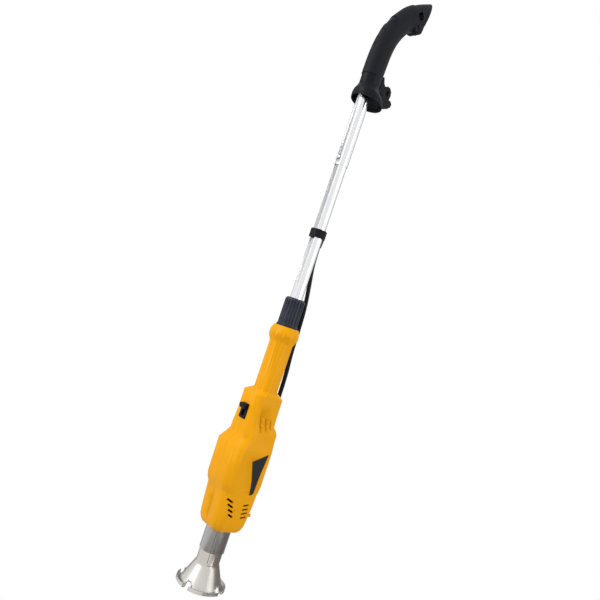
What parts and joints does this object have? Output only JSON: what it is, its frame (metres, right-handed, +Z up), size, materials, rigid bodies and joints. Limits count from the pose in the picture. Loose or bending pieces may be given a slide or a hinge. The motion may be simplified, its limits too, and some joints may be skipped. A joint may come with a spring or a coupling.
{
  "type": "electric hot-air weed burner",
  "caption": "Long hot-air weed burner: heat gun in a two-part moulded housing on a straight pole, with flared nozzle, slide switch, curved handle, hand guard and mains lead.",
  "frame": {"origin": "centre of the flared nozzle's open mouth, on the axis of the pole", "axes": "+Z up the pole to the handle, -Y the front with the switch, +Y the back with the mains lead, X across; the moulded shells part at X = 0"},
  "size_m": [0.1456, 0.1337, 1.0092],
  "materials": {
    "nozzle_steel": "spun steel, satin, slightly heat-tinted",
    "shield_steel": "rolled steel tube, brushed",
    "steel": "bright zinc-plated steel",
    "pole_steel": "bright polished tube",
    "yellow_plastic": "warm yellow moulded ABS, semi-gloss",
    "black_plastic": "black moulded plastic, satin",
    "grey_plastic": "heat-resistant grey plastic",
    "soft_rubber": "soft-touch moulded rubber",
    "black_rubber": "flexible moulded rubber",
    "cord_rubber": "rubber-sheathed mains lead, satin",
    "mica": "pressed mica sheet",
    "ceramic": "unglazed ceramic",
    "heater_wire": "resistance wire, oxidised",
    "ferrite": "sintered ferrite",
    "brass": "sintered bronze",
    "plated_brass": "nickel-plated brass",
    "board": "glass-fibre circuit board"
  },
  "bodies": {
    "tool": {"air_guide": "grey_plastic", "air_tube": "steel", "board_components": "black_plastic", "brush_plate": "grey_plastic", "control_board": "board", "cord_clamp": "black_plastic", "cord_collar": "black_plastic", "cord_hank": "cord_rubber", "cord_hook": "black_plastic", "cord_tail": "cord_rubber", "cord_tie": "black_plastic", "hand_guard": "black_plastic", "handle_left": "black_plastic", "handle_right": "black_plastic", "handle_screws": "steel", "heat_shield_tube": "shield_steel", "heater_coil": "heater_wire", "heater_end_disc": "ceramic", "heater_former": "ceramic", "housing_left": "yellow_plastic", "housing_right": "yellow_plastic", "housing_screws": "steel", "lower_tube": "pole_steel", "mica_sleeve": "mica", "motor_bearings": "brass", "motor_can": "steel", "motor_magnets": "ferrite", "motor_plate": "steel", "plug_body": "black_rubber", "plug_pins": "plated_brass", "pole_bush": "black_plastic", "power_cord": "cord_rubber", "side_plate": "black_plastic", "snap_spring": "steel", "soft_grip": "soft_rubber", "strain_relief": "black_rubber", "switch_frame": "black_plastic", "upper_tube": "pole_steel"},
    "nozzle": {"cone_nozzle": "nozzle_steel"},
    "slider": {"switch_slider": "black_plastic"},
    "fan": {"fan_impeller": "black_plastic", "motor_shaft": "steel", "motor_rotor": "steel"},
    "button": {"snap_button": "steel"},
    "sleeve": {"lock_sleeve": "black_plastic"}
  },
  "joints": [
    {"name": "nozzle_pull_off", "type": "slide", "parent": "tool", "child": "nozzle", "axis": [0, 0, -1], "range_m": [0, 0.03]},
    {"name": "switch_slide", "type": "slide", "parent": "tool", "child": "slider", "axis": [0, 0, -1], "range_m": [0, 0.01]},
    {"name": "fan_spin", "type": "hinge", "parent": "tool", "child": "fan", "pos_m": [0, 0, 0.22], "axis": [0, 0, 1], "continuous": true},
    {"name": "snap_button_press", "type": "slide", "parent": "tool", "child": "button", "axis": [0, 1, 0], "range_m": [0, 0.003], "stiffness_N_per_m": 1000, "deforming": ["snap_spring"]},
    {"name": "lock_sleeve_turn", "type": "hinge", "parent": "tool", "child": "sleeve", "pos_m": [0, 0, 0.44], "axis": [0, 0, 1], "range_deg": [0, 180]}
  ]
}
